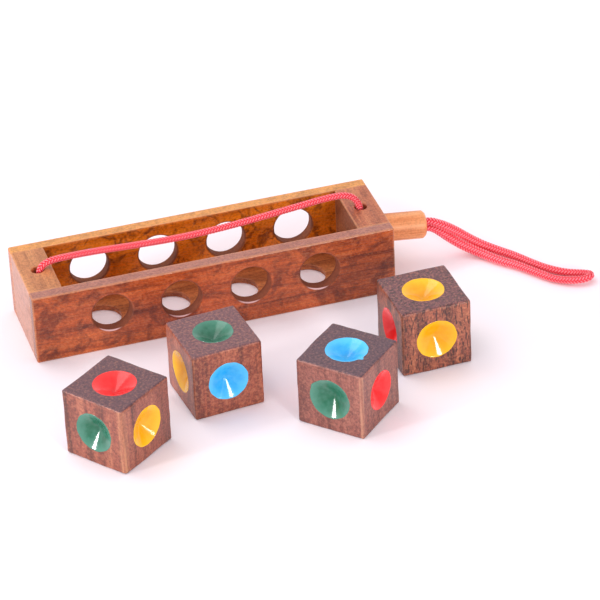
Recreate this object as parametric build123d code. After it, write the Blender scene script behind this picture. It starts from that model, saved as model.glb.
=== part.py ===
"""Four-colour cube puzzle: a wooden rack with a corded toggle, and its four loose cubes set out in front.

Millimetres. The origin is the middle of the rack's base, on the table. +X runs along the rack to the end
with the toggle, +Y to the rear and +Z up. One STEP per sub-part goes to parts/.
"""

from build123d import *
import math
import os

# Cubes. Everything else follows from their size.
CUBE = 30.0
CUBE_ROUND = 0.8
DIMPLE_R = 8.5
DIMPLE_DEPTH = 4.4
PAINT = 0.15

# Rack: two side boards, two end blocks and a floor between them.
SIDE_THICK = 5.5
FLOOR_THICK = 2.5
BLOCK_LENGTH = 14.25
ROW_SPARE = 8.0
WIDTH_SPARE = 2.8
RACK_HEIGHT = 31.4
RACK_ROUND = 0.8
INNER_LENGTH = 4 * CUBE + ROW_SPARE
INNER_WIDTH = CUBE + WIDTH_SPARE
RACK_LENGTH = INNER_LENGTH + 2 * BLOCK_LENGTH
RACK_WIDTH = INNER_WIDTH + 2 * SIDE_THICK
END_X = RACK_LENGTH / 2

# Round windows, one in each board for each cube, level with the middle of a stored cube's side.
WINDOW_R = 8.35
WINDOW_XS = [(i - 1.5) * CUBE for i in range(4)]
WINDOW_Z = FLOOR_THICK + CUBE / 2
WINDOW_ROUND = 1.0
FLOOR_WINDOW_ROUND = 0.5

# Cord and its holes.
CORD_R = 1.5
STRAND_GAP = 3.3
HOLE_R = 2.6
HOLE_X = END_X - 7.8
HOLE_ROUND = 0.6
KNOT_R = 3.6
KNOT_Z = 5.2
POCKET_R = 4.7
POCKET_DEPTH = 8.0
END_BORE_R = 4.2
END_BORE_Z = 18.8
END_BORE_PAST_HOLE = 1.1

# Toggle: a short dowel threaded on the doubled cord. It lies against the end block and droops a little.
TOGGLE_R = 6.0
TOGGLE_LENGTH = 19.0
TOGGLE_BORE_R = 3.9
TOGGLE_CHAMFER = 1.2
TOGGLE_MOUTH_ROUND = 0.5
TOGGLE_START = Vector(END_X + 1.0, 0, END_BORE_Z)
TOGGLE_YAW = 5.7
TOGGLE_DROOP = 3.4

# Each cube: place of its middle, turn about Z, and the colours of its six dimples.
FACES = ["top", "bottom", "left", "right", "front", "back"]
CUBES = {
    "cube_a": (-61.1, -91.1, 37.5, ["red", "yellow", "green", "blue", "yellow", "blue"]),
    "cube_b": (-14.3, -68.9, 5.8, ["green", "green", "yellow", "blue", "blue", "red"]),
    "cube_c": (32.3, -100.5, 43.3, ["blue", "yellow", "green", "blue", "red", "red"]),
    "cube_d": (75.0, -69.3, 2.0, ["yellow", "red", "red", "green", "yellow", "blue"]),
}
FACE_NORMALS = {
    "top": (0, 0, 1),
    "bottom": (0, 0, -1),
    "left": (-1, 0, 0),
    "right": (1, 0, 0),
    "front": (0, -1, 0),
    "back": (0, 1, 0),
}


def save(node, shape):
    export_step(shape, f"parts/{node}.step")


def slab(low, high):
    size = [b - a for a, b in zip(low, high)]
    middle = [(a + b) / 2 for a, b in zip(low, high)]
    return Pos(*middle) * Box(*size)


def drill(x, y, z, radius, length, direction):
    """A round cutter of the given length, centred on (x, y, z)."""
    return Plane((x, y, z), z_dir=direction) * Cylinder(radius, length)


def rounded_mouth(shape, radius, flat_axis, size):
    """Rounds the circular edges of one radius that lie in faces square to an axis."""
    rims = [e for e in shape.edges().filter_by(GeomType.CIRCLE) if abs(e.radius - radius) < 1e-3]
    rims = [e for e in rims if abs(abs(e.normal().dot(flat_axis)) - 1) < 1e-6]
    return fillet(rims, size)


# Rack ------------------------------------------------------------------------------------------


def side_board(side):
    """Front board for side -1, rear board for side 1. It covers the ends of the blocks and the floor."""
    inner = side * INNER_WIDTH / 2
    outer = side * RACK_WIDTH / 2
    board = slab((-END_X, min(inner, outer), 0), (END_X, max(inner, outer), RACK_HEIGHT))
    outside = [e for e in board.edges() if abs(e.center().Y - outer) < 1e-6]
    ends = [e for e in board.edges().filter_by(Axis.Y)]
    board = fillet(outside + ends, RACK_ROUND)
    for x in WINDOW_XS:
        board -= drill(x, (inner + outer) / 2, WINDOW_Z, WINDOW_R, 3 * SIDE_THICK, (0, 1, 0))
    return rounded_mouth(board, WINDOW_R, Vector(0, 1, 0), WINDOW_ROUND)


def floor_board():
    half = INNER_WIDTH / 2
    board = slab((-INNER_LENGTH / 2, -half, 0), (INNER_LENGTH / 2, half, FLOOR_THICK))
    for x in WINDOW_XS:
        board -= drill(x, 0, FLOOR_THICK / 2, WINDOW_R, 3 * FLOOR_THICK, (0, 0, 1))
    return rounded_mouth(board, WINDOW_R, Vector(0, 0, 1), FLOOR_WINDOW_ROUND)


def end_block(end):
    """Left block for end -1, right block for end 1, with the cord's hole and the knot's pocket below."""
    xs = sorted((end * INNER_LENGTH / 2, end * END_X))
    half = INNER_WIDTH / 2
    block = slab((xs[0], -half, 0), (xs[1], half, RACK_HEIGHT))
    outer = [e for e in block.edges().filter_by(Axis.Y) if abs(e.center().X - end * END_X) < 1e-6]
    block = fillet(outer, RACK_ROUND)
    block -= drill(end * HOLE_X, 0, RACK_HEIGHT / 2, HOLE_R, 2 * RACK_HEIGHT, (0, 0, 1))
    block -= drill(end * HOLE_X, 0, 0, POCKET_R, 2 * POCKET_DEPTH, (0, 0, 1))
    mouths = [
        e
        for e in block.edges().filter_by(GeomType.CIRCLE)
        if abs(e.radius - HOLE_R) < 1e-3 and abs(e.center().Z - RACK_HEIGHT) < 1e-3
    ]
    block = fillet(mouths, HOLE_ROUND)
    if end > 0:
        bore_length = END_X - HOLE_X + END_BORE_PAST_HOLE
        block -= drill(END_X - bore_length / 2 + 1, 0, END_BORE_Z, END_BORE_R, bore_length + 2, (1, 0, 0))
    return block


# Toggle ----------------------------------------------------------------------------------------


def toggle_axis():
    yaw = math.radians(TOGGLE_YAW)
    droop = math.radians(TOGGLE_DROOP)
    flat = math.cos(droop)
    return Vector(flat * math.cos(yaw), -flat * math.sin(yaw), -math.sin(droop))


def toggle():
    dowel = Cylinder(TOGGLE_R, TOGGLE_LENGTH, align=(Align.CENTER, Align.CENTER, Align.MIN))
    dowel = chamfer(dowel.edges().filter_by(GeomType.CIRCLE), TOGGLE_CHAMFER)
    dowel -= Cylinder(TOGGLE_BORE_R, 3 * TOGGLE_LENGTH)
    dowel = rounded_mouth(dowel, TOGGLE_BORE_R, Vector(0, 0, 1), TOGGLE_MOUTH_ROUND)
    return Plane(TOGGLE_START, z_dir=toggle_axis()) * dowel


# Cord ------------------------------------------------------------------------------------------


def strand_point(along, side, lean=0.0):
    """A point on the upper (side 1) or lower (side -1) strand, measured along the toggle from its near end.

    lean moves it off the strand's straight line, to the rear.
    """
    axis = toggle_axis()
    up = (Vector(0, 0, 1) - axis * axis.Z).normalized()
    rear = up.cross(axis)
    return TOGGLE_START + axis * along + up * (side * STRAND_GAP / 2) + rear * lean


def cord_route():
    """From the knot under the left block, over the tray, out through the toggle, round and back to its knot."""
    over_tray = [
        (-70.5, 0, 8.2),
        (-70.5, 0, 20.0),
        (-70.1, 0, 32.0),
        (-65.0, 0, 34.7),
        (-57.5, 0, 35.0),
        (-45.0, 0, 34.9),
        (-28.0, 0, 34.0),
        (-10.0, 0, 33.4),
        (8.0, 0, 34.0),
        (26.0, 0, 35.6),
        (43.0, 0, 37.4),
        (57.0, 0, 38.9),
        (65.5, 0, 38.3),
        (69.8, 0, 33.6),
        (70.3, 0, 26.8),
    ]
    outward = [
        strand_point(-9.4, 1),
        strand_point(-1.5, 1, 0.15),
        strand_point(8.5, 1, -0.15),
        strand_point(TOGGLE_LENGTH + 1.5, 1),
    ]
    loop = [
        (104.4, -2.2, 16.5),
        (111.0, -1.4, 11.7),
        (117.4, -1.3, 6.1),
        (122.6, -3.4, 2.8),
        (128.2, -8.5, 1.6),
        (133.4, -14.6, 1.5),
        (138.4, -23.0, 1.5),
        (143.2, -29.9, 1.6),
        (149.4, -35.4, 1.5),
        (154.8, -38.2, 1.7),
        (158.3, -41.0, 2.3),
        (157.9, -44.3, 3.0),
        (154.2, -45.0, 2.6),
        (149.4, -43.4, 2.2),
        (143.6, -39.3, 1.5),
        (138.8, -33.0, 1.6),
        (132.6, -23.6, 1.5),
        (126.0, -17.0, 1.5),
        (120.6, -9.6, 1.7),
        (114.6, -4.8, 3.9),
        (108.8, -2.6, 8.1),
        (103.2, -2.0, 13.6),
    ]
    inward = [
        strand_point(TOGGLE_LENGTH + 1.0, -1),
        strand_point(8.0, -1, 0.15),
        strand_point(-2.0, -1, -0.15),
        strand_point(-9.2, -1),
    ]
    to_knot = [(70.4, 0, 12.8), (70.4, 0, 8.2)]
    route = over_tray + outward + loop + inward + to_knot
    return [Vector(*p) if isinstance(p, tuple) else p for p in route]


def bend_radii(route):
    """The largest arc that each corner's two runs allow."""
    radii = []
    for before, at, after in zip(route, route[1:], route[2:]):
        turn = math.radians((at - before).get_angle(after - at))
        shorter = min((at - before).length, (after - at).length)
        radii.append(0.45 * shorter / math.tan(turn / 2))
    return radii


def cord():
    route = cord_route()
    radii = bend_radii(route)
    path = FilletPolyline(*route, radius=radii)
    tube = sweep(Plane(path @ 0, z_dir=path % 0) * Circle(CORD_R), path=path)
    print("cord radii", [round(r, 1) for r in radii])
    print("cord runs", [round((b - a).length, 1) for a, b in zip(route, route[1:])])
    print("cord length", round(path.length, 1))
    print("cord volume", round(tube.volume, 1), "section x length", round(math.pi * CORD_R**2 * path.length, 1))
    return tube


def knot(end, x):
    """The stopper knot in its pocket: a ball with a flat where the cord leaves it."""
    ball = Pos(x, 0, KNOT_Z) * Sphere(KNOT_R)
    above = slab((x - 10, -10, cord_route()[0].Z), (x + 10, 10, RACK_HEIGHT))
    return ball - above


# Cubes -----------------------------------------------------------------------------------------


def cone(base_r, depth, face):
    """A cone with its base in one face of a cube about the origin and its point towards the middle."""
    normal = Vector(*FACE_NORMALS[face])
    tip_up = Cone(base_r, 0, depth, align=(Align.CENTER, Align.CENTER, Align.MIN))
    return Plane(normal * (CUBE / 2), z_dir=-normal) * tip_up


def placed(shape, x, y, turn):
    return Pos(x, y, CUBE / 2) * Rot(0, 0, turn) * shape


def bare_cube():
    block = fillet(Box(CUBE, CUBE, CUBE).edges(), CUBE_ROUND)
    for face in FACES:
        block -= cone(DIMPLE_R, DIMPLE_DEPTH, face)
    return block


def paint_film(face):
    """A thin painted skin that lines one dimple."""
    slope = DIMPLE_R / DIMPLE_DEPTH
    drop = PAINT * math.sqrt(1 + slope**2) / slope
    inner = cone(DIMPLE_R - drop * slope, DIMPLE_DEPTH - drop, face)
    return cone(DIMPLE_R, DIMPLE_DEPTH, face) - inner


def write_rack():
    save("front_board", side_board(-1))
    save("rear_board", side_board(1))
    save("floor_board", floor_board())
    save("left_end_block", end_block(-1))
    save("right_end_block", end_block(1))


def write_cord():
    route = cord_route()
    save("cord", cord())
    save("left_knot", knot(-1, route[0].X))
    save("right_knot", knot(1, route[-1].X))


def write_cubes():
    wood = bare_cube()
    for name, (x, y, turn, colours) in CUBES.items():
        save(name, placed(wood, x, y, turn))
        for colour in sorted(set(colours)):
            films = [paint_film(f) for f, c in zip(FACES, colours) if c == colour]
            save(f"{name}_{colour}_paint", Compound([placed(f, x, y, turn) for f in films]))


os.makedirs("parts", exist_ok=True)
write_rack()
write_cord()
save("toggle", toggle())
write_cubes()
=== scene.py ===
"""Looks for the four-cube colour puzzle: a wooden rack with a red cord and a toggle, and four painted cubes.

The frame is the CAD model's, in metres: the origin is the middle of the rack's base, +X runs to the end with
the toggle, +Y to the rear and +Z up. Sizes below are in millimetres, and MM turns them into metres.
"""

import math
import random

import bmesh
import bpy
import numpy as np
from mathutils import Euler, Matrix, Vector


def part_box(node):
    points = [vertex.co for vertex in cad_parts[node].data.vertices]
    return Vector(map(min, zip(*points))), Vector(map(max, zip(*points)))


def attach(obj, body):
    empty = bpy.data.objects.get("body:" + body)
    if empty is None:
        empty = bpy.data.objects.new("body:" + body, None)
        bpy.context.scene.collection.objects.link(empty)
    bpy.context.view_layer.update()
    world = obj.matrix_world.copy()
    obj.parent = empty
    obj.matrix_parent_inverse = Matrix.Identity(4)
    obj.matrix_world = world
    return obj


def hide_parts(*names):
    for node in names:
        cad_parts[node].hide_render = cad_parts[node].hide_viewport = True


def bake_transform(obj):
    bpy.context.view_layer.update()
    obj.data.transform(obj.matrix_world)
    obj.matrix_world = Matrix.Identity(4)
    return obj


MM = 0.001

# Camera
CAMERA_TARGET = Vector((37.95, -13.89, 0.0)) * MM
CAMERA_DISTANCE = 1530.6 * MM
CAMERA_AZIMUTH = math.radians(-15.44)
CAMERA_ELEVATION = math.radians(32.70)
CAMERA_ROLL = math.radians(-2.87)
CAMERA_LENS = 216.9

# Light: a pale surround, brighter behind, above and to the left, and small lamps as
# (name, azimuth and elevation in degrees, distance and size in metres, watts)
WORLD_BRIGHT_SIDE = (-0.45, 0.65, 0.6)
WORLD_LOW, WORLD_HIGH = 0.63, 1.01
LAMP_AIM = Vector((0.02, -0.04, 0.01))
GLINT_PLACE, GLINT_AIM = Vector((0.207, -0.316, 0.030)), Vector((-0.061, -0.091, 0.015))
GLINT_SIZE, GLINT_WATTS = 0.03, 0.07
LAMPS = [
    ("overhead_lamp", 133, 64, 1.2, 0.6, 2.6),
    ("left_lamp", -168, 12, 1.3, 0.17, 7.5),
    ("front_lamp", -76, 17, 1.3, 0.2, 5.4),
]

# Rack, as in the CAD model
SIDE_THICK = 5.5
WINDOW_R = 8.35
WINDOW_ROUND = 1.0
FLOOR_WINDOW_ROUND = 0.5
WINDOW_PITCH = 30.0
WINDOW_Z = 17.5
RACK_ROUND = 0.8
SEAM_ROUND = 0.18
FLOOR_THICK = 2.5
HOLE_R = 2.6
HOLE_INSET = 7.8
HOLE_ROUND = 0.6
POCKET_R = 4.7
POCKET_DEPTH = 8.0
END_BORE_R = 4.2
END_BORE_Z = 18.8
END_BORE_PAST_HOLE = 1.1

# Toggle and cord, as in the CAD model
END_X = 78.25
TOGGLE_R = 6.0
TOGGLE_LENGTH = 19.0
TOGGLE_BORE_R = 3.9
TOGGLE_CHAMFER = 1.2
TOGGLE_MOUTH_ROUND = 0.5
TOGGLE_START = Vector((END_X + 1.0, 0, END_BORE_Z))
TOGGLE_YAW = math.radians(5.7)
TOGGLE_DROOP = math.radians(3.4)
CORD_R = 1.5
STRAND_GAP = 3.3
KNOT_Z = 5.2

# Cubes, as in the CAD model: the turn of each about Z and the colours of its dimples
CUBE = 30.0
DIMPLE_R = 8.5
DIMPLE_DEPTH = 4.4
FACES = {
    "top": (0, 0, 1),
    "bottom": (0, 0, -1),
    "left": (-1, 0, 0),
    "right": (1, 0, 0),
    "front": (0, -1, 0),
    "back": (0, 1, 0),
}
CUBES = {
    "cube_a": (37.5, ["red", "yellow", "green", "blue", "yellow", "blue"]),
    "cube_b": (5.8, ["green", "green", "yellow", "blue", "blue", "red"]),
    "cube_c": (43.3, ["blue", "yellow", "green", "blue", "red", "red"]),
    "cube_d": (2.0, ["yellow", "red", "red", "green", "yellow", "blue"]),
}


def rgb(red, green, blue):
    """A linear colour from sRGB steps of 0 to 255."""
    steps = [c / 255 for c in (red, green, blue)]
    return (*(c / 12.92 if c < 0.04045 else ((c + 0.055) / 1.055) ** 2.4 for c in steps), 1.0)


# Meshes ----------------------------------------------------------------------------------------


def object_from(name, points, faces, smooth_below=40.0, attributes=None):
    """A mesh object from points in millimetres. Edges sharper than the angle stay sharp."""
    mesh = bpy.data.meshes.new(name)
    mesh.from_pydata([tuple(p) for p in np.asarray(points, float) * MM], [], [tuple(f) for f in faces])
    for key, values in (attributes or {}).items():
        mesh.attributes.new(key, "FLOAT", "POINT").data.foreach_set("value", np.asarray(values, np.float32))
    mesh.validate()
    obj = bpy.data.objects.new(name, mesh)
    bpy.context.scene.collection.objects.link(obj)
    tidy_faces(mesh, smooth_below)
    return obj


def tidy_faces(mesh, smooth_below):
    work = bmesh.new()
    work.from_mesh(mesh)
    bmesh.ops.recalc_face_normals(work, faces=work.faces)
    work.to_mesh(mesh)
    work.free()
    mesh.polygons.foreach_set("use_smooth", [True] * len(mesh.polygons))
    mesh.set_sharp_from_angle(angle=math.radians(smooth_below))


def applied(obj):
    """The object with its modifiers made part of its mesh."""
    depsgraph = bpy.context.evaluated_depsgraph_get()
    mesh = bpy.data.meshes.new_from_object(obj.evaluated_get(depsgraph), depsgraph=depsgraph)
    obj.modifiers.clear()
    obj.data = mesh
    return obj


def weighted(obj):
    """Flat faces look flat up to their rounded edges."""
    modifier = obj.modifiers.new("weighted", "WEIGHTED_NORMAL")
    modifier.keep_sharp = True
    return applied(obj)


def ring_faces(rings, around, closed=True):
    """Quads between rings of points that follow each other in a list."""
    faces = []
    last = around if closed else around - 1
    for r in range(rings - 1):
        for i in range(last):
            j = (i + 1) % around
            faces.append((r * around + i, r * around + j, (r + 1) * around + j, (r + 1) * around + i))
    return faces


def lathe(profile, around=96):
    """Points and quads of a closed profile of (radius, height) turned about Z."""
    angles = np.linspace(0, 2 * math.pi, around, endpoint=False)
    points = [(r * math.cos(a), r * math.sin(a), h) for r, h in profile for a in angles]
    faces = ring_faces(len(profile), around)
    first, last = 0, (len(profile) - 1) * around
    faces += [(last + i, last + (i + 1) % around, first + (i + 1) % around, first + i) for i in range(around)]
    return np.array(points), faces


def edge_rounding(outer_round, inner_round, thickness, steps=5, flat_rim=0.5):
    """(distance from the outer face, inset) down a plate's edge, with a flat rim at each end."""
    angles = [math.radians(90 * k / steps) for k in range(steps + 1)]
    outer = [(outer_round * (1 - math.cos(a)), outer_round * (1 - math.sin(a))) for a in angles]
    inner = [(thickness - inner_round * (1 - math.sin(a)), inner_round * (1 - math.cos(a))) for a in angles]
    return [(0, outer_round + flat_rim), *outer, *inner, (thickness, inner_round + flat_rim)]


def outline_points(width, height, corner, inset, corner_steps=5):
    """A rectangle with round corners, made smaller by the inset."""
    corner_in = max(corner - inset, 0.04)
    half_w, half_h = width / 2 - inset - corner_in, height / 2 - inset - corner_in
    points = []
    for quarter, (sx, sy) in enumerate([(1, 1), (-1, 1), (-1, -1), (1, -1)]):
        for k in range(corner_steps + 1):
            a = math.radians(90 * (quarter + k / corner_steps))
            points.append((sx * half_w + corner_in * math.cos(a), sy * half_h + corner_in * math.sin(a)))
    return points


def plate(name, size, corner, rounds, holes, place):
    """A plate with round holes. place turns (across, up, in from the outer face) into the row's frame."""
    width, height, thickness = size
    outer_round, inner_round, hole_outer, hole_inner = rounds
    work = bmesh.new()
    caps = {0: [], 1: []}

    def wall(loops):
        rings = [[work.verts.new(Vector(place(*p)) * MM) for p in loop] for loop in loops]
        for a, b in zip(rings, rings[1:]):
            for i in range(len(a)):
                j = (i + 1) % len(a)
                work.faces.new((a[i], a[j], b[j], b[i]))
        for end, ring in ((0, rings[0]), (1, rings[-1])):
            caps[end] += [work.edges.get((ring[i], ring[(i + 1) % len(ring)])) for i in range(len(ring))]

    wall([[(u, v, w) for u, v in outline_points(width, height, corner, inset)]
          for w, inset in edge_rounding(outer_round, inner_round, thickness)])
    turns = [2 * math.pi * k / 72 for k in range(72)]
    for hole_u, hole_v, radius in holes:
        rims = [(w, radius + grow) for w, grow in edge_rounding(hole_outer, hole_inner, thickness)]
        wall([[(hole_u + r * math.cos(t), hole_v + r * math.sin(t), w) for t in turns] for w, r in rims])
    for edges in caps.values():
        bmesh.ops.triangle_fill(work, use_beauty=True, use_dissolve=True, edges=edges)
    mesh = bpy.data.meshes.new(name)
    work.to_mesh(mesh)
    work.free()
    obj = bpy.data.objects.new(name, mesh)
    bpy.context.scene.collection.objects.link(obj)
    tidy_faces(mesh, 35)
    return weighted(obj)


def cut(obj, profile, spot, direction):
    """Takes a turned shape out of an object: profile is (radius, distance along) from the spot."""
    points, faces = lathe([(0.001, profile[0][1]), *profile, (0.001, profile[-1][1])])
    cutter = object_from("cutter", points, faces)
    turn = Vector((0, 0, 1)).rotation_difference(Vector(direction)).to_matrix().to_4x4()
    cutter.matrix_world = Matrix.Translation(Vector(spot) * MM) @ turn
    bpy.context.view_layer.update()
    modifier = obj.modifiers.new("cut", "BOOLEAN")
    modifier.operation = "DIFFERENCE"
    modifier.solver = "EXACT"
    modifier.object = cutter
    applied(obj)
    bpy.data.objects.remove(cutter)
    obj.data.set_sharp_from_angle(angle=math.radians(35))
    return obj


def stand_in(obj, node, body):
    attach(obj, body)
    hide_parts(node)
    return obj


# Node graphs -----------------------------------------------------------------------------------


class Graph:
    """A material's nodes, with a short call for each kind that the finishes use."""

    def __init__(self, name, **shader):
        self.material = bpy.data.materials.new(name)
        self.material.use_nodes = True
        self.tree = self.material.node_tree
        self.tree.nodes.clear()
        output = self.tree.nodes.new("ShaderNodeOutputMaterial")
        self.shader = self.tree.nodes.new("ShaderNodeBsdfPrincipled")
        self.tree.links.new(self.shader.outputs[0], output.inputs[0])
        for socket, value in shader.items():
            self.shader.inputs[socket.replace("_", " ")].default_value = value

    def feed(self, socket, value):
        if isinstance(value, bpy.types.NodeSocket):
            self.tree.links.new(value, socket)
        else:
            socket.default_value = value

    def math(self, operation, *values, clamp=False):
        node = self.tree.nodes.new("ShaderNodeMath")
        node.operation = operation
        node.use_clamp = clamp
        for socket, value in zip(node.inputs, values):
            self.feed(socket, value)
        return node.outputs[0]

    def vector_math(self, operation, *values):
        node = self.tree.nodes.new("ShaderNodeVectorMath")
        node.operation = operation
        for socket, value in zip(node.inputs, values):
            self.feed(socket, value)
        return node.outputs["Value"] if operation == "DOT_PRODUCT" else node.outputs["Vector"]

    def parts(self, vector):
        node = self.tree.nodes.new("ShaderNodeSeparateXYZ")
        self.feed(node.inputs[0], vector)
        return node.outputs

    def millimetres(self, centre=(0, 0, 0), turn=(0, 0, 0)):
        """Places on the piece, in millimetres from a centre, in axes turned with the piece."""
        coordinate = self.tree.nodes.new("ShaderNodeTexCoord")
        mapping = self.tree.nodes.new("ShaderNodeMapping")
        mapping.vector_type = "TEXTURE"
        self.feed(mapping.inputs["Vector"], coordinate.outputs["Object"])
        mapping.inputs["Location"].default_value = tuple(Vector(centre) * MM)
        mapping.inputs["Rotation"].default_value = tuple(turn)
        mapping.inputs["Scale"].default_value = (MM, MM, MM)
        return mapping.outputs[0]

    def normal(self):
        return self.tree.nodes.new("ShaderNodeTexCoord").outputs["Normal"]

    def noise(self, vector, scale, detail=2.0, roughness=0.5, distortion=0.0):
        node = self.tree.nodes.new("ShaderNodeTexNoise")
        self.feed(node.inputs["Vector"], vector)
        node.inputs["Scale"].default_value = scale
        node.inputs["Detail"].default_value = detail
        node.inputs["Roughness"].default_value = roughness
        node.inputs["Distortion"].default_value = distortion
        return node.outputs["Fac"]

    def attribute(self, name):
        node = self.tree.nodes.new("ShaderNodeAttribute")
        node.attribute_name = name
        return node.outputs["Fac"]

    def step(self, value, low, high, start=0.0, end=1.0):
        """From start to end, smoothly, as the value goes from low to high."""
        node = self.tree.nodes.new("ShaderNodeMapRange")
        node.interpolation_type = "SMOOTHSTEP"
        for socket, number in zip(node.inputs, (value, low, high, start, end)):
            self.feed(socket, number)
        return node.outputs[0]

    def mix(self, share, first, second, blend="MIX"):
        node = self.tree.nodes.new("ShaderNodeMix")
        node.data_type = "RGBA"
        node.blend_type = blend
        self.feed(node.inputs[0], share)
        self.feed(node.inputs[6], first)
        self.feed(node.inputs[7], second)
        return node.outputs[2]

    def ramp(self, value, stops):
        node = self.tree.nodes.new("ShaderNodeValToRGB")
        while len(node.color_ramp.elements) < len(stops):
            node.color_ramp.elements.new(0.5)
        for element, (place, colour) in zip(node.color_ramp.elements, stops):
            element.position = place
            element.color = colour
        self.feed(node.inputs[0], value)
        return node.outputs[0]

    def bump(self, height, distance, strength=1.0):
        node = self.tree.nodes.new("ShaderNodeBump")
        node.inputs["Strength"].default_value = strength
        node.inputs["Distance"].default_value = distance * MM
        self.feed(node.inputs["Height"], height)
        self.feed(self.shader.inputs["Normal"], node.outputs[0])

    def scaled(self, value, factor):
        return self.math("MULTIPLY", value, factor)


def edge_distance(graph, place, half_size):
    """How far a point on a box is from the nearest edge: the middle one of its distances to three faces."""
    away = [graph.math("SUBTRACT", half, graph.math("ABSOLUTE", part))
            for half, part in zip(half_size, graph.parts(place))]
    low, high = graph.math("MINIMUM", *away[:2]), graph.math("MAXIMUM", *away[:2])
    return graph.math("MAXIMUM", low, graph.math("MINIMUM", high, away[2]))


# Wood noise: how often per millimetre it varies across the grain and along it
BAND_RATE = (0.2, 0.016)
FIBRE_RATE = (2.1, 0.11)
STREAK_RATE = (0.75, 0.035)
FLECK_RATE = 0.95
RUB_RATE = 0.35
FLECK_INK = (0.012, 0.006, 0.008, 1)
PORE_INK = (0.01, 0.006, 0.008, 1)


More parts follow.
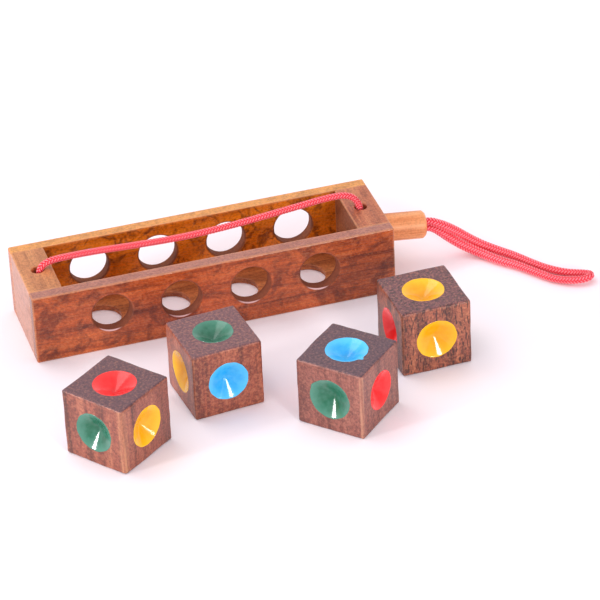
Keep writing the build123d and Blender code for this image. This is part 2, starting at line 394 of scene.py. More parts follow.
def wood(name, tones, grain, half_size, centre=(0, 0, 0), turn=(0, 0, 0), blotch=0.5, blotch_size=9.0,
         streak=0.5, speckle=0.4, pores=0.4, pore_length=2.2, pore_width=0.3, pores_from=0.62, wear=0.5,
         wear_width=0.9, wear_box=None, wear_towards=None, sides=(), window_up=None, lip_highlight=0.0,
         gloss=0.5, rough=0.38, seed=0.0):
    """Lacquered wood as a solid texture: bands, fibres and pores run along one axis of the piece.

    tones are dark, middle, light and worn-edge colours. sides lists (direction, colour, share) tints of the
    faces that look that way, in the piece's own axes; the end blocks use such tints as painted light.
    wear_towards keeps the worn edges to the corner on that side. window_up is how far the windows' middles
    are above the board's; the windows' bore walls then get a darker colour as painted shade, and the lip
    argument sets how much paler their lower rims are painted, as a painted highlight.
    """
    dark, middle, light, worn = tones
    graph = Graph(name, Specular_IOR_Level=gloss)
    place = graph.millimetres(centre, turn)
    shifted = graph.vector_math("ADD", place, (seed, 1.7 * seed, 2.3 * seed))

    def along_grain(across, lengthwise):
        rates = [lengthwise if i == grain else across for i in range(3)]
        return graph.vector_math("MULTIPLY", shifted, rates)

    bands = graph.noise(along_grain(*BAND_RATE), 1.0, 3.0, 0.55, 0.5)
    fibres = graph.noise(along_grain(*FIBRE_RATE), 1.0, 3.0, 0.6)
    streaks = graph.noise(along_grain(*STREAK_RATE), 1.0, 2.0, 0.6, 0.3)
    dashes = graph.noise(along_grain(1.0 / pore_width, 1.0 / pore_length), 1.0, 1.5, 0.55)
    patches = graph.noise(shifted, 1.0 / blotch_size, 3.0, 0.6, 0.8)

    tone = graph.ramp(bands, [(0.28, dark), (0.5, middle), (0.74, light)])
    tone = graph.mix(graph.step(streaks, 0.55, 0.75, 0.0, streak), tone, dark)
    tone = graph.mix(graph.step(streaks, 0.45, 0.25, 0.0, 0.5 * streak), tone, light)
    tone = graph.mix(graph.step(fibres, 0.35, 0.7, 0.0, 0.45), tone, graph.mix(0.5, tone, dark))
    facing = graph.normal()
    for direction, colour, share in sides:
        world = Euler(turn).to_matrix() @ Vector(direction)
        reach = sum(abs(d) * h for d, h in zip(direction, half_size))
        outermost = graph.step(graph.vector_math("DOT_PRODUCT", place, direction), reach - 1.4, reach - 0.7)
        towards = graph.step(graph.vector_math("DOT_PRODUCT", facing, tuple(world)), 0.55, 0.9, 0.0, share)
        mask = graph.math("MULTIPLY", outermost, towards)
        shade = graph.mix(graph.step(fibres, 0.3, 0.75), colour, graph.mix(0.35, colour, dark))
        tone = graph.mix(mask, tone, shade)
    level = graph.step(graph.math("ABSOLUTE", graph.parts(facing)[2]), 0.2, 0.5)
    on_patch = graph.step(patches, 0.48, 0.68, 0.0, blotch)
    tone = graph.mix(graph.math("MULTIPLY", on_patch, graph.step(level, 0.0, 1.0, 1.0, 0.3)), tone, dark)
    flecks = graph.noise(shifted, FLECK_RATE, 2.0, 0.7)
    inked = graph.mix(0.7, tone, FLECK_INK)
    tone = graph.mix(graph.step(flecks, 0.47, 0.66, 0.0, speckle), tone, inked)
    paler = graph.mix(0.5, tone, worn)
    tone = graph.mix(graph.step(flecks, 0.5, 0.34, 0.0, 0.7 * speckle), tone, paler)
    pore_mask = graph.step(dashes, pores_from, pores_from + 0.1, 0.0, pores)
    tone = graph.mix(pore_mask, tone, graph.mix(0.75, dark, PORE_INK))
    rub = graph.scaled(graph.noise(shifted, RUB_RATE, 3.0, 0.65), 0.9 * wear_width)
    edge = graph.math("SUBTRACT", edge_distance(graph, place, wear_box or half_size), rub)
    rubbed = graph.step(edge, wear_width * 0.55, -0.1 * wear_width, 0.0, wear)
    if wear_towards:
        corner = sum(abs(d) * h for d, h in zip(wear_towards, half_size))
        near = graph.step(graph.vector_math("DOT_PRODUCT", place, wear_towards), corner - 7.0, corner - 3.0)
        upright = graph.math("SUBTRACT", 1.0, level)
        broken = graph.step(streaks, 0.35, 0.6, 1.0, 0.35)
        for share in (broken, near, upright):
            rubbed = graph.math("MULTIPLY", rubbed, share)
    tone = graph.mix(rubbed, tone, worn)
    if window_up is not None:
        across, _, up = graph.parts(place)
        from_axis = graph.math("PINGPONG", graph.math("SUBTRACT", across, WINDOW_PITCH / 2), WINDOW_PITCH / 2)
        above = graph.math("SUBTRACT", up, window_up)
        reach = graph.math("SQRT", graph.math("ADD", graph.math("MULTIPLY", from_axis, from_axis),
                                              graph.math("MULTIPLY", above, above)))
        inside = graph.step(graph.math("ABSOLUTE", across), 2 * WINDOW_PITCH, 2 * WINDOW_PITCH - 1.0)
        # Painted shade: the windows' bore walls are darkened. They are also made rough.
        wall = graph.math("MULTIPLY", inside, graph.step(reach, WINDOW_R + 0.95, WINDOW_R + 0.25, 0.0, 0.8))
        tone = graph.mix(wall, tone, HOLE_WALL_SHADE)
        # Painted highlight: a paler colour on the windows' lower rims, where they face up and to the front.
        lip = graph.step(graph.vector_math("DOT_PRODUCT", facing, LIP_HIGHLIGHT_FACING), 0.9, 0.98)
        at_rim = graph.step(reach, WINDOW_R + 1.25, WINDOW_R + 1.0)
        painted_highlight = graph.math("MULTIPLY", graph.math("MULTIPLY", inside, at_rim), lip)
        tone = graph.mix(graph.scaled(painted_highlight, lip_highlight), tone, LIP_HIGHLIGHT_PAINT)
    graph.feed(graph.shader.inputs["Base Color"], tone)
    roughness = graph.step(fibres, 0.25, 0.8, rough, rough + 0.16)
    if window_up is not None:
        roughness = graph.math("MAXIMUM", roughness, wall)
    graph.feed(graph.shader.inputs["Roughness"], roughness)
    relief = graph.math("ADD", graph.scaled(fibres, 0.5), graph.scaled(pore_mask, -1.0))
    graph.bump(relief, 0.12, 0.35)
    return graph.material


def enamel(name, colour, rim_colour):
    """Glossy paint, a little paler near the rim and slightly uneven."""
    graph = Graph(name, Roughness=0.14, Specular_IOR_Level=0.5)
    place = graph.millimetres()
    cloud = graph.noise(place, 0.35, 2.0, 0.5)
    tone = graph.mix(graph.step(cloud, 0.3, 0.75, 0.0, 0.35), colour, rim_colour)
    tone = graph.mix(graph.step(graph.attribute("rim"), 0.55, 1.0, 0.0, 0.6), tone, rim_colour)
    graph.feed(graph.shader.inputs["Base Color"], tone)
    graph.bump(graph.noise(place, 0.8, 1.0, 0.4), 0.12, 0.15)
    return graph.material


def braid_finish(name, colour, crossing_shade_colour, fuzz_and_highlight_colour):
    """Nylon yarn: fine filaments along each strand, painted shade where yarns pass under and at their edges,
    painted highlight on crests.
    """
    graph = Graph(name, Roughness=0.55, Sheen_Weight=0.35, Sheen_Roughness=0.4, Specular_IOR_Level=0.35,
                  Subsurface_Weight=0.12, Subsurface_Scale=MM)
    graph.shader.inputs["Subsurface Radius"].default_value = (1.0, 0.25, 0.2)
    place = graph.millimetres()
    across = graph.attribute("across")
    filaments = graph.math("SINE", graph.scaled(across, 22.0))
    fuzz = graph.noise(place, 2.6, 2.0, 0.6)
    height, off_middle = graph.attribute("height"), graph.math("ABSOLUTE", across)
    # Painted shade: darker where a yarn passes under and towards each yarn's edges. Painted highlight: paler
    # on the crests. There are also pale flecks of fuzz.
    tone = graph.mix(graph.step(height, 0.1, 0.6), crossing_shade_colour, colour)
    tone = graph.mix(graph.step(off_middle, 0.6, 1.0, 0.0, 0.6), tone, crossing_shade_colour)
    ridge = graph.step(off_middle, 0.75, 0.2, 0.0, 0.8)
    crest_highlight = graph.math("MULTIPLY", graph.step(height, 0.45, 0.85), ridge)
    tone = graph.mix(crest_highlight, tone, fuzz_and_highlight_colour)
    tone = graph.mix(graph.step(fuzz, 0.5, 0.8, 0.0, 0.2), tone, fuzz_and_highlight_colour)
    graph.feed(graph.shader.inputs["Base Color"], tone)
    graph.bump(graph.math("ADD", graph.scaled(filaments, 0.5), fuzz), 0.05, 0.4)
    return graph.material


# Rack ------------------------------------------------------------------------------------------

AXIS_X, AXIS_Y, AXIS_Z = 0, 1, 2
TAN_WORN = rgb(226, 160, 112)
AMBER = rgb(246, 134, 18)
# Colour painted on the windows' bore walls as painted shade.
HOLE_WALL_SHADE = rgb(104, 50, 28)
# The way the windows' lower rims face, and the paler colour painted on them as a painted highlight.
LIP_HIGHLIGHT_FACING = (0.12, -0.72, 0.68)
LIP_HIGHLIGHT_PAINT = rgb(240, 196, 196)


def in_mm(node):
    low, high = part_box(node)
    return low / MM, high / MM


def half_and_centre(node):
    low, high = in_mm(node)
    return tuple((high - low) / 2), tuple((high + low) / 2)


def window_xs():
    return [(i - 1.5) * WINDOW_PITCH for i in range(4)]


def side_board(node, side, material):
    low, high = in_mm(node)
    length, height = high.x - low.x, high.z - low.z
    middle = (low.z + high.z) / 2
    outer = low.y if side < 0 else high.y
    board = plate(node.replace("board", "side"), (length, height, SIDE_THICK), RACK_ROUND,
                  (RACK_ROUND, SEAM_ROUND, WINDOW_ROUND, WINDOW_ROUND),
                  [(x, WINDOW_Z - middle, WINDOW_R) for x in window_xs()],
                  lambda across, up, inwards: (across, outer - side * inwards, middle + up))
    board.data.materials.append(material)
    return stand_in(board, node, "rack")


def floor_board(node, material):
    low, high = in_mm(node)
    board = plate("tray_floor", (high.x - low.x, high.y - low.y, FLOOR_THICK), SEAM_ROUND,
                  (SEAM_ROUND, SEAM_ROUND, FLOOR_WINDOW_ROUND, FLOOR_WINDOW_ROUND),
                  [(x, 0.0, WINDOW_R) for x in window_xs()],
                  lambda across, along, inwards: (across, along, low.z + inwards))
    board.data.materials.append(material)
    return stand_in(board, node, "rack")


def end_block(node, end, material):
    low, high = in_mm(node)
    length, width, height = high - low
    centre = (low + high) / 2
    block = plate(node.replace("block", "piece"), (length, height, width), RACK_ROUND,
                  (SEAM_ROUND, SEAM_ROUND, SEAM_ROUND, SEAM_ROUND), [],
                  lambda across, up, inwards: (centre.x + across, low.y + inwards, centre.z + up))
    outer_x = high.x if end > 0 else low.x
    hole_x = outer_x - end * HOLE_INSET
    flare = [(HOLE_R + HOLE_ROUND * (1 - math.cos(a)), height - HOLE_ROUND * (1 - math.sin(a)))
             for a in [math.radians(90 * k / 5) for k in range(6)]]
    profile = [(POCKET_R, -1.0), (POCKET_R, POCKET_DEPTH), (HOLE_R, POCKET_DEPTH), *flare,
               (HOLE_R + HOLE_ROUND, height + 1.0)]
    cut(block, profile, (hole_x, 0, low.z), (0, 0, 1))
    if end > 0:
        depth = HOLE_INSET + END_BORE_PAST_HOLE
        bore = [(END_BORE_R, 0.0), (END_BORE_R, depth + 1.0)]
        cut(block, bore, (outer_x - depth, 0, END_BORE_Z), (1, 0, 0))
    weighted(block)
    block.data.materials.clear()
    block.data.materials.append(material)
    return stand_in(block, node, "rack")


def make_rack():
    half, centre = half_and_centre("front_board")
    tones = (rgb(100, 34, 14), rgb(188, 84, 36), rgb(206, 104, 50), TAN_WORN)
    tints = [((0, 0, 1), rgb(180, 120, 106), 0.9), ((0, 1, 0), AMBER, 0.9),
             ((-1, 0, 0), rgb(134, 72, 52), 0.9)]
    # The front board's lower window rims get a painted highlight.
    front = wood("front_side_wood", tones, AXIS_X, half, centre, blotch=0.7, streak=0.5, pores=0.5, wear=0.3,
                 sides=tints, window_up=WINDOW_Z - centre[2], lip_highlight=0.85, gloss=0.5, rough=0.22, seed=3.1)
    side_board("front_board", -1, front)
    half, centre = half_and_centre("rear_board")
    tones = (rgb(90, 34, 4), rgb(196, 92, 8), rgb(222, 124, 22), TAN_WORN)
    tints = [((0, 0, 1), rgb(244, 166, 84), 0.95), ((0, -1, 0), AMBER, 0.7)]
    rear = wood("rear_side_wood", tones, AXIS_X, half, centre, blotch=0.75, blotch_size=5.0, streak=0.45,
                pores=0.6, wear=0.3, sides=tints, window_up=WINDOW_Z - centre[2], gloss=0.5, rough=0.22,
                seed=11.7)
    side_board("rear_board", 1, rear)
    half, centre = half_and_centre("floor_board")
    tones = (rgb(120, 60, 30), rgb(196, 110, 60), rgb(224, 142, 86), TAN_WORN)
    base = wood("tray_floor_wood", tones, AXIS_X, half, centre, blotch=0.5, pores=0.4, wear=0.3, seed=21.3)
    floor_board("floor_board", base)
    # Each end block's -X face gets painted light: the left block's outer end a pale pinkish painted
    # reflection, and the right block's inner face, in the tray, a darker painted shade.
    ends = [
        (-1, "left_end_block", (rgb(146, 82, 44), rgb(202, 128, 76), rgb(222, 150, 92), TAN_WORN),
         rgb(192, 146, 136), 31.9),
        (1, "right_end_block", (rgb(116, 56, 34), rgb(192, 104, 66), rgb(214, 140, 86), TAN_WORN),
         rgb(110, 62, 38), 43.2),
    ]
    for end, node, tones, left_face_painted_light, seed in ends:
        half, centre = half_and_centre(node)
        grain = wood(f"{node}_wood", tones, AXIS_Y, half, centre, blotch=0.3, streak=0.6, pores=0.5, wear=0.3,
                     sides=[((-1, 0, 0), left_face_painted_light, 0.8)], gloss=0.6, seed=seed)
        end_block(node, end, grain)


# Toggle ----------------------------------------------------------------------------------------


def toggle_axis():
    flat = math.cos(TOGGLE_DROOP)
    return Vector((flat * math.cos(TOGGLE_YAW), -flat * math.sin(TOGGLE_YAW), -math.sin(TOGGLE_DROOP)))


def make_toggle():
    """A bored dowel with chamfered ends and softened corners."""
    soft = 0.25
    outside = [(TOGGLE_R - TOGGLE_CHAMFER - soft, 0), (TOGGLE_R - TOGGLE_CHAMFER + soft * 0.6, soft * 0.6),
               (TOGGLE_R - soft * 0.6, TOGGLE_CHAMFER - soft * 0.6), (TOGGLE_R, TOGGLE_CHAMFER + soft)]
    mouth = [(TOGGLE_BORE_R + TOGGLE_MOUTH_ROUND * (1 - math.sin(a)), TOGGLE_MOUTH_ROUND * (1 - math.cos(a)))
             for a in [math.radians(90 * k / 5) for k in range(6)]]
    near_half = [*reversed(mouth), *outside]
    far_half = [(r, TOGGLE_LENGTH - h) for r, h in reversed(near_half)]
    barrel = [(TOGGLE_R, TOGGLE_CHAMFER + soft + k * (TOGGLE_LENGTH - 2 * (TOGGLE_CHAMFER + soft)) / 6)
              for k in range(1, 6)]
    points, faces = lathe([*near_half, *barrel, *far_half], around=128)
    turn = np.array(Vector((0, 0, 1)).rotation_difference(toggle_axis()).to_matrix())
    obj = object_from("toggle_dowel", points @ turn.T + np.array(TOGGLE_START), faces, 50)
    weighted(obj)
    spin = Vector((1, 0, 0)).rotation_difference(toggle_axis()).to_euler()
    tones = (rgb(206, 112, 58), rgb(246, 164, 108), rgb(252, 192, 142), rgb(252, 196, 150))
    middle = TOGGLE_START + toggle_axis() * (TOGGLE_LENGTH / 2)
    material = wood("toggle_wood", tones, AXIS_X, (TOGGLE_LENGTH / 2, 60, 60), middle, spin, blotch=0.15,
                    streak=0.4, speckle=0.2, pores=0.15, wear=0.0, gloss=0.4, seed=5.5)
    obj.data.materials.append(material)
    stand_in(obj, "toggle", "toggle")


# Cord ------------------------------------------------------------------------------------------


def strand_point(along, side, lean=0.0):
    """A point on the upper (side 1) or lower (side -1) strand, measured from the toggle's near end."""
    axis = toggle_axis()
    up = (Vector((0, 0, 1)) - axis * axis.z).normalized()
    return TOGGLE_START + axis * along + up * (side * STRAND_GAP / 2) + up.cross(axis) * lean


OVER_TRAY = [
    (-70.5, 0, 8.2), (-70.5, 0, 20.0), (-70.1, 0, 32.0), (-65.0, 0, 34.7), (-57.5, 0, 35.0), (-45.0, 0, 34.9),
    (-28.0, 0, 34.0), (-10.0, 0, 33.4), (8.0, 0, 34.0), (26.0, 0, 35.6), (43.0, 0, 37.4), (57.0, 0, 38.9),
    (65.5, 0, 38.3), (69.8, 0, 33.6), (70.3, 0, 26.8),
]
OUTWARD = [(-9.4, 1, 0.0), (-1.5, 1, 0.15), (8.5, 1, -0.15), (TOGGLE_LENGTH + 1.5, 1, 0.0)]
LOOP = [
    (104.4, -2.2, 16.5), (111.0, -1.4, 11.7), (117.4, -1.3, 6.1), (122.6, -3.4, 2.8), (128.2, -8.5, 1.6),
    (133.4, -14.6, 1.5), (138.4, -23.0, 1.5), (143.2, -29.9, 1.6), (149.4, -35.4, 1.5), (154.8, -38.2, 1.7),
    (158.3, -41.0, 2.3), (157.9, -44.3, 3.0), (154.2, -45.0, 2.6), (149.4, -43.4, 2.2), (143.6, -39.3, 1.5),
    (138.8, -33.0, 1.6), (132.6, -23.6, 1.5), (126.0, -17.0, 1.5), (120.6, -9.6, 1.7), (114.6, -4.8, 3.9),
    (108.8, -2.6, 8.1), (103.2, -2.0, 13.6),
]
INWARD = [(TOGGLE_LENGTH + 1.0, -1, 0.0), (8.0, -1, 0.15), (-2.0, -1, -0.15), (-9.2, -1, 0.0)]
TO_KNOT = [(70.4, 0, 12.8), (70.4, 0, 8.2)]


def cord_route():
    outward = [tuple(strand_point(*p)) for p in OUTWARD]
    inward = [tuple(strand_point(*p)) for p in INWARD]
    return OVER_TRAY + outward + LOOP + inward + TO_KNOT


def smooth_line(route, resolution=16):
    """The line of a NURBS spline with the route's points as its control points."""
    curve = bpy.data.curves.new("route", "CURVE")
    curve.dimensions = "3D"
    spline = curve.splines.new("NURBS")
    spline.points.add(len(route) - 1)
    for point, place in zip(spline.points, route):
        point.co = (*place, 1.0)
    spline.order_u = 3
    spline.use_endpoint_u = True
    spline.resolution_u = resolution
    holder = bpy.data.objects.new("route", curve)
    mesh = bpy.data.meshes.new_from_object(holder)
    line = np.array([v.co for v in mesh.vertices], float)
    bpy.data.meshes.remove(mesh)
    bpy.data.objects.remove(holder)
    bpy.data.curves.remove(curve)
    return line


def evenly(line, step):
    along = np.concatenate([[0], np.cumsum(np.linalg.norm(np.diff(line, axis=0), axis=1))])
    at = np.linspace(0, along[-1], int(along[-1] / step) + 1)
    return np.stack([np.interp(at, along, line[:, k]) for k in range(3)], axis=1), at


def carried_frames(line):
    """At each point, the tangent and two directions square to it that don't spin about it."""
    tangents = np.gradient(line, axis=0)
    tangents /= np.linalg.norm(tangents, axis=1)[:, None]
    side = np.cross(tangents[0], (0.0, 1.0, 0.0))
    sides = []
    for tangent in tangents:
        side = side - tangent * (side @ tangent)
        side /= np.linalg.norm(side)
        sides.append(side)
    sides = np.array(sides)
    return tangents, sides, np.cross(tangents, sides)


YARNS = 6
BRAID_PITCH = 7.8
YARN_WIDTH = 0.94
YARN_THICK = 0.36
YARN_WAVE = 0.2
BRAID_STEP = 0.3


def braid(line, fatness=None):
    """Points, faces and attributes of a braid: YARNS each way round a core, two over and two under."""
    along = np.concatenate([[0], np.cumsum(np.linalg.norm(np.diff(line, axis=0), axis=1))])
    line, at = evenly(line, BRAID_STEP)
    tangents, sides, ups = carried_frames(line)
    size = np.ones(len(at)) if fatness is None else np.interp(at, along, fatness)
    points, faces, across, height = [], [], [], []
    section = [2 * math.pi * k / 6 for k in range(6)]

    def tube(rings, acrosses, heights):
        base = sum(len(p) for p in points)
        around = rings.shape[1]
        points.append(rings.reshape(-1, 3))
        faces.extend([tuple(base + i for i in f) for f in ring_faces(len(rings), around)])
        faces.append(tuple(base + i for i in range(around)))
        faces.append(tuple(base + (len(rings) - 1) * around + i for i in range(around)))
        across.append(acrosses.ravel())
        height.append(heights.ravel())

    middle_r = CORD_R - YARN_THICK / 2 - YARN_WAVE
    for way in (1, -1):
        for yarn in range(YARNS):
            angle = 2 * math.pi * (yarn / YARNS + way * at / BRAID_PITCH)
            wave = way * np.cos(math.pi / 2 * (2 * yarn + way * 2 * YARNS * at / BRAID_PITCH - 0.5))
            radius = (middle_r + YARN_WAVE * wave) * size
            outward = sides * np.cos(angle)[:, None] + ups * np.sin(angle)[:, None]
            centre = line + outward * radius[:, None]
            run = np.gradient(centre, axis=0)
            run /= np.linalg.norm(run, axis=1)[:, None]
            flat = np.cross(outward, run)
            wide, thick = YARN_WIDTH / 2 * size[:, None], YARN_THICK / 2 * size[:, None]
            rings = np.stack([centre + flat * wide * math.cos(t) + outward * thick * math.sin(t)
                              for t in section], axis=1)
            acrosses = np.tile([math.cos(t) for t in section], (len(at), 1))
            tube(rings, acrosses, np.repeat(0.5 + 0.5 * wave[:, None], 6, axis=1))
    core = np.stack([line + (sides * math.cos(t) + ups * math.sin(t)) * ((middle_r - 0.12) * size)[:, None]
                     for t in np.linspace(0, 2 * math.pi, 12, endpoint=False)], axis=1)
    tube(core, np.zeros(core.shape[:2]), np.zeros(core.shape[:2]))
    attributes = {"across": np.concatenate(across), "height": np.concatenate(height)}
    return np.concatenate(points), faces, attributes


# The loop's thickness at these x, in times the cord's. The line is lifted by the added thickness and moved to
# the front by a lean times that lift. The returning strand's lean goes from the first number to the second.
LOOP_XS = (END_X + TOGGLE_LENGTH, 106, 121, 134, 144, 156)
LOOP_FATNESS = (1.0, 1.42, 1.42, 1.24, 1.16, 1.08)
LOOP_LEANS = (-0.4, 1.5)
LOOP_LEAN_XS = (121, 156)


def loop_fatness(line):
    """The slack loop past the toggle is fatter than the taut run over the tray, and less so at its fold."""
    return np.interp(line[:, 0], LOOP_XS, LOOP_FATNESS)


def make_knot(node, end, material):
    """A stopper knot in its pocket: the cord's end turned through itself as an overhand knot."""
    x = OVER_TRAY[0][0] if end < 0 else TO_KNOT[-1][0]
    size = 0.72
    turns = [0.35 + 2 * math.pi * k / 40 for k in range(38)]
    route = [(x, 0, 8.1), (x - 0.2, 0.3, 7.2)]
    route += [(x + size * (math.sin(t) + 2 * math.sin(2 * t)), size * (math.cos(t) - 2 * math.cos(2 * t)),
               KNOT_Z - 0.3 - 1.15 * math.sin(3 * t)) for t in turns]
    points, faces, attributes = braid(smooth_line(route, 4))
    middle = np.array([x, 0, KNOT_Z])
    knot = object_from(node.replace("knot", "overhand_knot"), middle + (points - middle) * 0.97, faces, 80,
                       attributes)
    knot.data.materials.append(material)
    return stand_in(knot, node, "rack")


def make_cord():
    # The cord's red, the darker red of its painted shade, and the pale pink of its painted highlight and
    # fuzz.
    material = braid_finish("cord_yarn", rgb(255, 34, 56), rgb(206, 0, 34), rgb(255, 152, 164))
    line = smooth_line(cord_route())
    fatness = loop_fatness(line)
    lift = CORD_R * (fatness - 1.0)
    returning = np.arange(len(line)) > int(np.argmax(line[:, 0]))
    lean = np.where(returning, np.interp(line[:, 0], LOOP_LEAN_XS, LOOP_LEANS), LOOP_LEANS[1])
    line += np.stack([0 * lift, -lean * lift, lift], axis=1)
    points, faces, attributes = braid(line, fatness)
    cord = object_from("braided_cord", points, faces, 80, attributes)
    cord.data.materials.append(material)
    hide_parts("cord")
    knots = [make_knot("left_knot", -1, material), make_knot("right_knot", 1, material)]
    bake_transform(cord)


# Cubes -----------------------------------------------------------------------------------------

EDGE_ROUND = 0.8
EDGE_SHARES = (0.0, 0.03, 0.15, 0.35, 0.6, 0.8, 0.9, 0.93, 0.955, 0.975, 0.99, 1.0)
SQUARE_STEPS = 24
DIMPLE_TRIM = {
    ("cube_a", "top"): 0.2,
    ("cube_b", "top"): -0.4,
    ("cube_b", "left"): 0.15,
    ("cube_b", "front"): -0.15,
    ("cube_c", "left"): 0.35,
    ("cube_c", "front"): -0.35,
}


def square_ring(half, steps):
    """Points around a square, evenly spaced, from the middle of its right side."""
    points = []
    for k in range(8 * steps):
        t = k / steps
        if t < 1 or t >= 7:
            points.append((half, half * (t if t < 1 else t - 8)))
        elif t < 3:
            points.append((half * (2 - t), half))
        elif t < 5:
            points.append((-half, half * (4 - t)))
        else:
            points.append((half * (t - 6), -half))
    return np.array(points)


def cube_mesh(name, node, seed):
    """A cube about the origin with soft, slightly uneven edges and a conical dimple in each face."""
    draw = random.Random(seed)
    half = CUBE / 2
    square = square_ring(1.0, SQUARE_STEPS)
    around = len(square)
    circle = square / np.linalg.norm(square, axis=1)[:, None]
    inner = [(0.004, -DIMPLE_DEPTH), (0.5, 0.5 * DIMPLE_DEPTH / DIMPLE_R - DIMPLE_DEPTH),
             (DIMPLE_R - 0.05, -0.03)]
    edge = square * half
    points, faces = [], []
    for face, normal in FACES.items():
        radius = DIMPLE_R + DIMPLE_TRIM.get((node, face), 0.0)
        rings = [(circle * (r * radius / DIMPLE_R), h) for r, h in inner]
        rings += [(circle * radius * (1 - share) + edge * share, 0.0) for share in EDGE_SHARES]
        n = np.array(normal, float)
        u = np.array((0.0, 0.0, 1.0)) if abs(n[2]) < 0.5 else np.array((1.0, 0.0, 0.0))
        v = np.cross(n, u)
        base = len(points)
        for flat, h in rings:
            for a, b in flat:
                points.append(n * (half + h) + u * a + v * b)
        faces += [tuple(base + i for i in f) for f in ring_faces(len(rings), around)]
        faces.append(tuple(base + i for i in range(around)))
    points = np.array(points)
    phases = [draw.uniform(0, 2 * math.pi) for _ in range(6)]
    wobble = (np.sin(points[:, 0] * 0.31 + phases[0]) * np.sin(points[:, 1] * 0.27 + phases[1])
              + np.sin(points[:, 2] * 0.35 + phases[2]) * np.sin(points[:, 0] * 0.23 + phases[3])
              + 0.5 * np.sin(points[:, 1] * 0.9 + phases[4]) * np.sin(points[:, 2] * 0.8 + phases[5]))
    radius = EDGE_ROUND * (1.0 + 0.25 * wobble)[:, None]
    core = np.clip(points, -(half - radius), half - radius)
    away = points - core
    far = np.linalg.norm(away, axis=1)[:, None]
    on_shell = (np.abs(points).max(axis=1) > half - 1e-6)[:, None]
    rounded = core + away / np.maximum(far, 1e-9) * radius
    points = np.where(on_shell & (far > 1e-6), rounded, points)
    obj = object_from(name, points, faces, 40)
    work = bmesh.new()
    work.from_mesh(obj.data)
    bmesh.ops.remove_doubles(work, verts=work.verts, dist=0.002 * MM)
    work.to_mesh(obj.data)
    work.free()
    tidy_faces(obj.data, 40)
    return obj


def dimple_skin(face, seed, trim=0.0, drip=None):
    """The paint in one dimple: a thin closed skin with a soft apex and a lip that creeps over the rim."""
    draw = random.Random(seed)
    dimple_r = DIMPLE_R + trim
    around = 96
    angles = np.linspace(0, 2 * math.pi, around, endpoint=False)
    lip = 0.22 + sum(draw.uniform(0.015, 0.06) * np.sin(waves * angles + draw.uniform(0, 6.28))
                     for waves in (2, 3, 5, 8, 13))
    if drip:
        direction, reach, width = drip
        off = (angles - math.radians(direction) + math.pi) % (2 * math.pi) - math.pi
        lip = lip + reach * np.exp(-((off / math.radians(width)) ** 2))
    soft = 0.7
    slope = DIMPLE_DEPTH / dimple_r
    skin = 0.14
    rings = []
    for share in (0.003, 0.03, 0.08, 0.15, 0.25, 0.4, 0.55, 0.7, 0.82, 0.91, 0.96):
        r = dimple_r * share
        h = -DIMPLE_DEPTH + slope * (math.sqrt(r * r + soft * soft) - 0.35 * soft) + skin
        rings.append((np.full(around, r), h, share))
    rings.append((np.full(around, dimple_r), 0.055, 1.0))
    rings.append((dimple_r + 0.6 * lip, 0.065, 1.0))
    rings.append((dimple_r + 0.95 * lip, 0.03, 1.0))
    rings.append((dimple_r + lip, -0.02, 1.0))
    rings.append((np.full(around, dimple_r - 0.4), -0.35, 1.0))
    rings.append((np.full(around, 0.003 * dimple_r), -DIMPLE_DEPTH - 0.12, 0.0))
    n = Vector(FACES[face])
    u = Vector((0, 0, 1)) if abs(n.z) < 0.5 else Vector((1, 0, 0))
    v = n.cross(u)
    points, rim = [], []
    for radii, h, share in rings:
        for r, a in zip(radii, angles):
            points.append(n * (CUBE / 2 + h) + u * (r * math.cos(a)) + v * (r * math.sin(a)))
            rim.append(share)
    faces = ring_faces(len(rings), around)
    faces.append(tuple(range(around)))
    faces.append(tuple((len(rings) - 1) * around + i for i in range(around)))
    return points, faces, rim


ENAMELS = {
    "red": (rgb(240, 20, 26), rgb(252, 60, 58)),
    "yellow": (rgb(246, 164, 4), rgb(252, 196, 34)),
    "green": (rgb(22, 98, 70), rgb(88, 144, 126)),
    "blue": (rgb(40, 170, 240), rgb(96, 206, 250)),
}
CUBE_WOODS = {
    "cube_a": dict(tones=(rgb(88, 40, 30), rgb(154, 80, 62), rgb(184, 110, 82), rgb(208, 144, 104)),
                   wear=0.65, wear_width=3.2, streak=0.3, crown=rgb(94, 58, 72), seed=50.3),
    "cube_b": dict(tones=(rgb(96, 38, 26), rgb(162, 80, 56), rgb(186, 104, 74), TAN_WORN),
                   wear=0.15, wear_width=1.2, streak=0.4, crown=rgb(116, 74, 84), seed=63.1),
    "cube_c": dict(tones=(rgb(90, 42, 35), rgb(144, 80, 68), rgb(168, 102, 86), rgb(204, 146, 116)),
                   wear=0.6, wear_width=1.8, streak=0.35, crown=rgb(80, 54, 72), seed=77.7),
    "cube_d": dict(tones=(rgb(56, 24, 16), rgb(150, 76, 56), rgb(196, 112, 78), TAN_WORN),
                   wear=0.15, wear_width=1.2, streak=0.8, crown=rgb(122, 68, 76), seed=88.8,
                   pores=0.75, pore_length=3.4, pore_width=0.85, pores_from=0.52),
}
CROWN_SHARE = 0.92
DRIPS = {("cube_c", "top"): (250.0, 1.3, 5.0), ("cube_c", "left"): (60.0, 0.5, 9.0)}


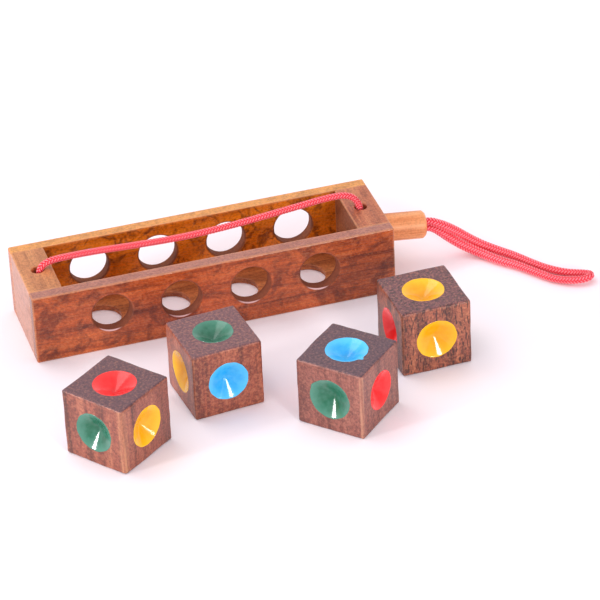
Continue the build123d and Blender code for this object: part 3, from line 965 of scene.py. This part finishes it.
def make_cube(node, paints):
    turn, colours = CUBES[node]
    half, centre = half_and_centre(node)
    spot = Matrix.Translation(Vector(centre) * MM) @ Matrix.Rotation(math.radians(turn), 4, "Z")
    look = dict(CUBE_WOODS[node])
    crown = look.pop("crown")
    material = wood(f"{node}_wood", grain=AXIS_Z, half_size=(CUBE / 2,) * 3, centre=centre,
                    turn=(0, 0, math.radians(turn)), blotch=0.25, speckle=0.6, gloss=0.62, rough=0.3,
                    wear_box=(CUBE / 2, CUBE / 2, 90.0), wear_towards=(-1, -1, 0),
                    sides=[((0, 0, 1), crown, CROWN_SHARE), ((0, 0, -1), crown, CROWN_SHARE)], **look)
    block = cube_mesh(node.replace("cube", "block"), node, look["seed"])
    block.data.transform(spot)
    block.data.materials.append(material)
    stand_in(block, node, node)
    for colour in sorted(set(colours)):
        points, faces, rim = [], [], []
        for index, face in enumerate(FACES):
            if colours[index] == colour:
                place = (node, face)
                skin = dimple_skin(face, f"{node} {face}", DIMPLE_TRIM.get(place, 0.0), DRIPS.get(place))
                faces += [tuple(len(points) + i for i in f) for f in skin[1]]
                points += skin[0]
                rim += skin[2]
        paint = object_from(f"{node}_{colour}_enamel", points, faces, 60, {"rim": rim})
        paint.data.transform(spot)
        paint.data.materials.append(paints[colour])
        stand_in(paint, f"{node}_{colour}_paint", node)


def make_cubes():
    paints = {name: enamel(f"{name}_enamel", *colours) for name, colours in ENAMELS.items()}
    for node in CUBES:
        make_cube(node, paints)


# Stage, light and camera -----------------------------------------------------------------------


def make_camera():
    azimuth, elevation, roll = CAMERA_AZIMUTH, CAMERA_ELEVATION, CAMERA_ROLL
    back = Vector((math.sin(azimuth) * math.cos(elevation), -math.cos(azimuth) * math.cos(elevation),
                   math.sin(elevation)))
    level = Vector((math.cos(azimuth), math.sin(azimuth), 0))
    upright = back.cross(level)
    right = level * math.cos(roll) + upright * math.sin(roll)
    up = upright * math.cos(roll) - level * math.sin(roll)
    data = bpy.data.cameras.new("camera")
    data.lens = CAMERA_LENS
    data.sensor_width = 36.0
    data.clip_end = 20.0
    camera = bpy.data.objects.new("camera", data)
    bpy.context.scene.collection.objects.link(camera)
    turn = Matrix((right, up, back)).transposed().to_4x4()
    camera.matrix_world = Matrix.Translation(CAMERA_TARGET + back * CAMERA_DISTANCE) @ turn
    bpy.context.scene.camera = camera


def area_light(name, place, aim, size, power, colour=(1, 1, 1)):
    data = bpy.data.lights.new(name, "AREA")
    data.shape = "RECTANGLE"
    data.size, data.size_y = size
    data.energy = power
    data.color = colour
    lamp = bpy.data.objects.new(name, data)
    bpy.context.scene.collection.objects.link(lamp)
    lamp.location = place
    lamp.rotation_euler = (Vector(aim) - Vector(place)).to_track_quat("-Z", "Y").to_euler()


def make_stage():
    bpy.ops.mesh.primitive_plane_add(size=12.0, location=(0, 0, 0))
    floor = bpy.context.object
    floor.name = "studio_floor"
    graph = Graph("studio_floor", Roughness=0.9, Specular_IOR_Level=0.1)
    cloud = graph.noise(graph.millimetres(), 0.004, 2.0)
    graph.feed(graph.shader.inputs["Base Color"], graph.mix(cloud, rgb(255, 247, 252), rgb(254, 245, 251)))
    floor.data.materials.append(graph.material)


def make_lights():
    world = bpy.data.worlds.new("studio")
    bpy.context.scene.world = world
    world.use_nodes = True
    tree = world.node_tree
    background = tree.nodes["Background"]
    direction = tree.nodes.new("ShaderNodeTexCoord")
    lean = tree.nodes.new("ShaderNodeVectorMath")
    lean.operation = "DOT_PRODUCT"
    lean.inputs[1].default_value = WORLD_BRIGHT_SIDE
    tree.links.new(direction.outputs["Generated"], lean.inputs[0])
    spread = tree.nodes.new("ShaderNodeMapRange")
    spread.interpolation_type = "SMOOTHSTEP"
    for socket, number in zip(spread.inputs[1:5], (-0.5, 0.6, WORLD_LOW, WORLD_HIGH)):
        socket.default_value = number
    tree.links.new(lean.outputs["Value"], spread.inputs[0])
    tree.links.new(spread.outputs[0], background.inputs["Strength"])
    background.inputs["Color"].default_value = (1.0, 0.98, 1.0, 1)
    for name, azimuth, elevation, distance, size, power in LAMPS:
        turn, rise = math.radians(azimuth), math.radians(elevation)
        way = Vector((math.cos(turn) * math.cos(rise), math.sin(turn) * math.cos(rise), math.sin(rise)))
        area_light(name, LAMP_AIM + way * distance, LAMP_AIM, (size, size), power)
    area_light("glint_lamp", GLINT_PLACE, GLINT_AIM, (GLINT_SIZE, GLINT_SIZE), GLINT_WATTS)
    bpy.context.scene.view_settings.view_transform = "Standard"


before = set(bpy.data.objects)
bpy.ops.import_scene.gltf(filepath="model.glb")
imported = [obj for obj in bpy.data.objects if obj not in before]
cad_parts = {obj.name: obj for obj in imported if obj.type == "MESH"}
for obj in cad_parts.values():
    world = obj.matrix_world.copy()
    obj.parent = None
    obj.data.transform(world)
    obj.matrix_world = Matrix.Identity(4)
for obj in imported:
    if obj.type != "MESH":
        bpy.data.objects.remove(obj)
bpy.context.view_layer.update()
make_camera()
make_cord()
make_rack()
make_toggle()
make_cubes()
make_stage()
make_lights()
